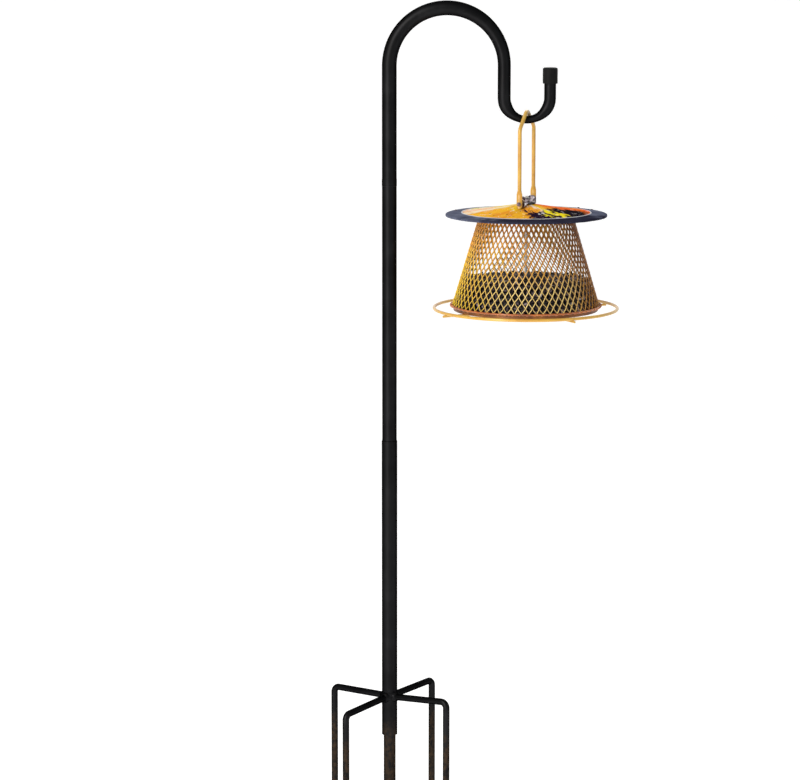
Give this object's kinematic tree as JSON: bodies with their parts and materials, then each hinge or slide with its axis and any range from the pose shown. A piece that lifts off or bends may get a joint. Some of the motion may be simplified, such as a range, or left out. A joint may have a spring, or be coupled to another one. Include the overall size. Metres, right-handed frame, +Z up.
{
  "type": "hanging bird feeder on pole",
  "caption": "Conical mesh seed feeder with metal roof and ring perch, hung by a wire bail from the crook of a sectional garden pole with a pronged ground stake.",
  "frame": {"origin": "on the pole axis at ground level, the upper end of the stake's cylindrical wall", "axes": "+Z up along the pole, +X from the pole towards the hanging feeder, +Y away from a viewer who sees the feeder on the right"},
  "size_m": [0.4953, 0.318, 1.4631],
  "materials": {
    "black_powder_coat": "semi-matt powder coat",
    "dark_steel": "matt black",
    "black_cap": "matt moulded cap",
    "yellow_wire_coat": "glossy plastic coated wire",
    "roof_metal": "mirror gloss coated sheet",
    "black_rubber": "matt",
    "bright_steel": "zinc plated",
    "gold_mesh": "gold-orange coated mesh",
    "gold_wire": "coated wire",
    "floor_metal": "coated sheet",
    "seed": "dry husks"
  },
  "bodies": {
    "pole": {"ground_spike": "dark_steel", "base_tube": "black_powder_coat", "base_spigot": "dark_steel", "prong_rear_right": "black_powder_coat", "prong_rear_left": "black_powder_coat", "prong_front_left": "black_powder_coat", "prong_front_right": "black_powder_coat", "prong_weld_beads": "black_powder_coat", "pole_lower_tube": "black_powder_coat", "pole_joint_spigot": "dark_steel", "pole_upper_tube": "black_powder_coat"},
    "hook": {"hook_spigot": "dark_steel", "hook_tube": "black_powder_coat", "hook_end_cap": "black_cap"},
    "bail": {"bail_wire": "yellow_wire_coat"},
    "roof": {"roof_cone": "roof_metal", "roof_rim_rivets": "roof_metal", "roof_seal_washer": "black_rubber", "hanger_saddle": "bright_steel", "hanger_pins": "bright_steel"},
    "nut": {"wing_nut": "bright_steel"},
    "cage": {"centre_rod": "bright_steel", "roof_spacer": "bright_steel", "cage_top_ring": "gold_wire", "cage_cross_bar": "bright_steel", "cage_mesh": "gold_mesh", "cage_bottom_ring": "gold_wire", "floor_pan": "floor_metal", "rod_washer": "bright_steel", "rod_nut": "bright_steel", "perch_ring": "yellow_wire_coat", "perch_spokes": "yellow_wire_coat", "seed_fill": "seed"}
  },
  "joints": [
    {"name": "hook_swivel", "type": "hinge", "parent": "pole", "child": "hook", "pos_m": [0, 0, 0.9602], "axis": [0, 0, 1], "continuous": true},
    {"name": "bail_swing", "type": "hinge", "parent": "hook", "child": "bail", "pos_m": [0.2328, 0, 1.0729], "axis": [1, 0, 0], "range_deg": [-18, 18]},
    {"name": "roof_tilt", "type": "hinge", "parent": "bail", "child": "roof", "pos_m": [0.2328, 0, 0.934], "axis": [0.299, 0.9542, 0], "range_deg": [-15, 15]},
    {"name": "wing_nut_turn", "type": "hinge", "parent": "roof", "child": "nut", "pos_m": [0.2328, 0, 0.94], "axis": [0, 0, 1], "continuous": true},
    {"name": "cage_drop", "type": "slide", "parent": "roof", "child": "cage", "axis": [0, 0, -1], "range_m": [0, 0.06]}
  ]
}
